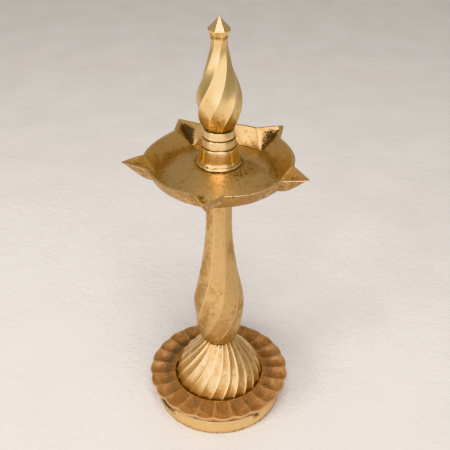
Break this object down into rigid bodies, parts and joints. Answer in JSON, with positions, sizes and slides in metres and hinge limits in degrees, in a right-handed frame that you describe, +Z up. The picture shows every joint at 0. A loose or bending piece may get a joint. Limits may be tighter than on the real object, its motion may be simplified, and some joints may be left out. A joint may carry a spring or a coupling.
{
  "type": "standing oil lamp",
  "caption": "Brass standing oil lamp: screwed stack of scalloped base, fluted dome, twisted faceted stem, beaked oil pan, grooved collar and spiral finial.",
  "frame": {"origin": "centre of the foot ring, on the surface that the lamp stands on", "axes": "+Z up along the lamp's axis; +Y away from the front view, +X to its right; the front beak points to -Y, 9.25 degrees towards -X"},
  "size_m": [0.1189, 0.119, 0.3],
  "materials": {
    "foot_ring": "polished by turning, light scratches",
    "petal_tray": "dull as-cast brass with brown and grey-green stains",
    "dome": "satin, rubbed bright on the flutes",
    "base_stud": "cut thread, dull",
    "base_washer": "dull steel",
    "base_nut": "dull steel",
    "stem_washer": "dull",
    "stem": "satin cast brass with soft facet edges and small pits",
    "pan_stud": "cut thread, dull",
    "oil_pan": "satin, turned inside, cast-rough outside, sooty in the beaks",
    "pan_seal": "oil-dark leather",
    "collar": "polished by turning, dark in the grooves",
    "finial_washer": "dull",
    "finial_stud": "cut thread, dull",
    "finial": "hand polished, crisp facet edges"
  },
  "bodies": {
    "base": {"foot_ring": "foot_ring", "petal_tray": "petal_tray", "dome": "dome", "base_stud": "base_stud", "base_washer": "base_washer", "base_nut": "base_nut"},
    "stem_thread": {"stem_washer": "stem_washer"},
    "stem": {"stem": "stem", "pan_stud": "pan_stud"},
    "pan": {"oil_pan": "oil_pan"},
    "collar_thread": {"pan_seal": "pan_seal"},
    "collar": {"collar": "collar"},
    "finial_thread": {"finial_washer": "finial_washer"},
    "finial": {"finial": "finial", "finial_stud": "finial_stud"}
  },
  "joints": [
    {"name": "stem_turn", "type": "hinge", "parent": "base", "child": "stem_thread", "pos_m": [0, 0, 0.055], "axis": [0, 0, 1], "range_deg": [0, 2940]},
    {"name": "stem_rise", "type": "slide", "parent": "stem_thread", "child": "stem", "axis": [0, 0, 1], "range_m": [0, 0.01296]},
    {"name": "pan_swivel", "type": "hinge", "parent": "stem", "child": "pan", "pos_m": [0, 0, 0.2], "axis": [0, 0, 1], "continuous": true},
    {"name": "collar_turn", "type": "hinge", "parent": "stem", "child": "collar_thread", "pos_m": [0, 0, 0.205], "axis": [0, 0, 1], "range_deg": [0, 2280]},
    {"name": "collar_rise", "type": "slide", "parent": "collar_thread", "child": "collar", "axis": [0, 0, 1], "range_m": [0, 0.00894]},
    {"name": "finial_turn", "type": "hinge", "parent": "collar", "child": "finial_thread", "pos_m": [0, 0, 0.2296], "axis": [0, 0, 1], "range_deg": [0, 2970]},
    {"name": "finial_rise", "type": "slide", "parent": "finial_thread", "child": "finial", "axis": [0, 0, 1], "range_m": [0, 0.01048]}
  ],
  "couplings": [
    {"joint": "stem_turn", "follows": "stem_rise", "rad_per_m": 3957.9},
    {"joint": "collar_turn", "follows": "collar_rise", "rad_per_m": 4452.7},
    {"joint": "finial_turn", "follows": "finial_rise", "rad_per_m": 4947.4}
  ]
}
